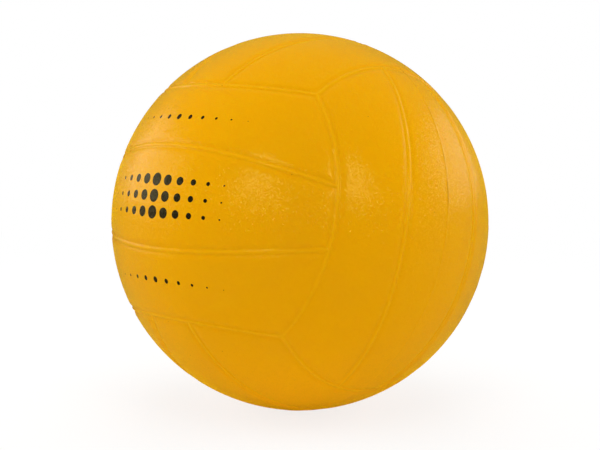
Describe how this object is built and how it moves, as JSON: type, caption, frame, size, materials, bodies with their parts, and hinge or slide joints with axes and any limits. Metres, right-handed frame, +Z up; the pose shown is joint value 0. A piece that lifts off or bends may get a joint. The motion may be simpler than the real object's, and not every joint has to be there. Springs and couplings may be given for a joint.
{
  "type": "soft volleyball",
  "caption": "Hollow soft vinyl ball for learning volleyball: a one-piece moulded shell with strip panels and raised seam beads, inflated through a rubber needle valve.",
  "frame": {"origin": "centre of the ball", "axes": "+Z up, -Z through the spot that the ball rests on; -Y towards the viewer of the picture; the ball lies leaned and turned as pictured, with its valve at the back right"},
  "size_m": [0.2004, 0.2004, 0.2004],
  "materials": {
    "soft_vinyl": "satin, with a fine blasted mould grain",
    "housing_rubber": "moulded, matt",
    "core_rubber": "moulded, slightly oiled"
  },
  "bodies": {
    "ball": {"vinyl_shell": "soft_vinyl", "valve_housing": "housing_rubber"},
    "core": {"valve_core": "core_rubber"}
  },
  "joints": [
    {"name": "core_pull", "type": "slide", "parent": "ball", "child": "core", "axis": [0.7016, 0.6846, -0.1977], "range_m": [0, 0.018]}
  ]
}
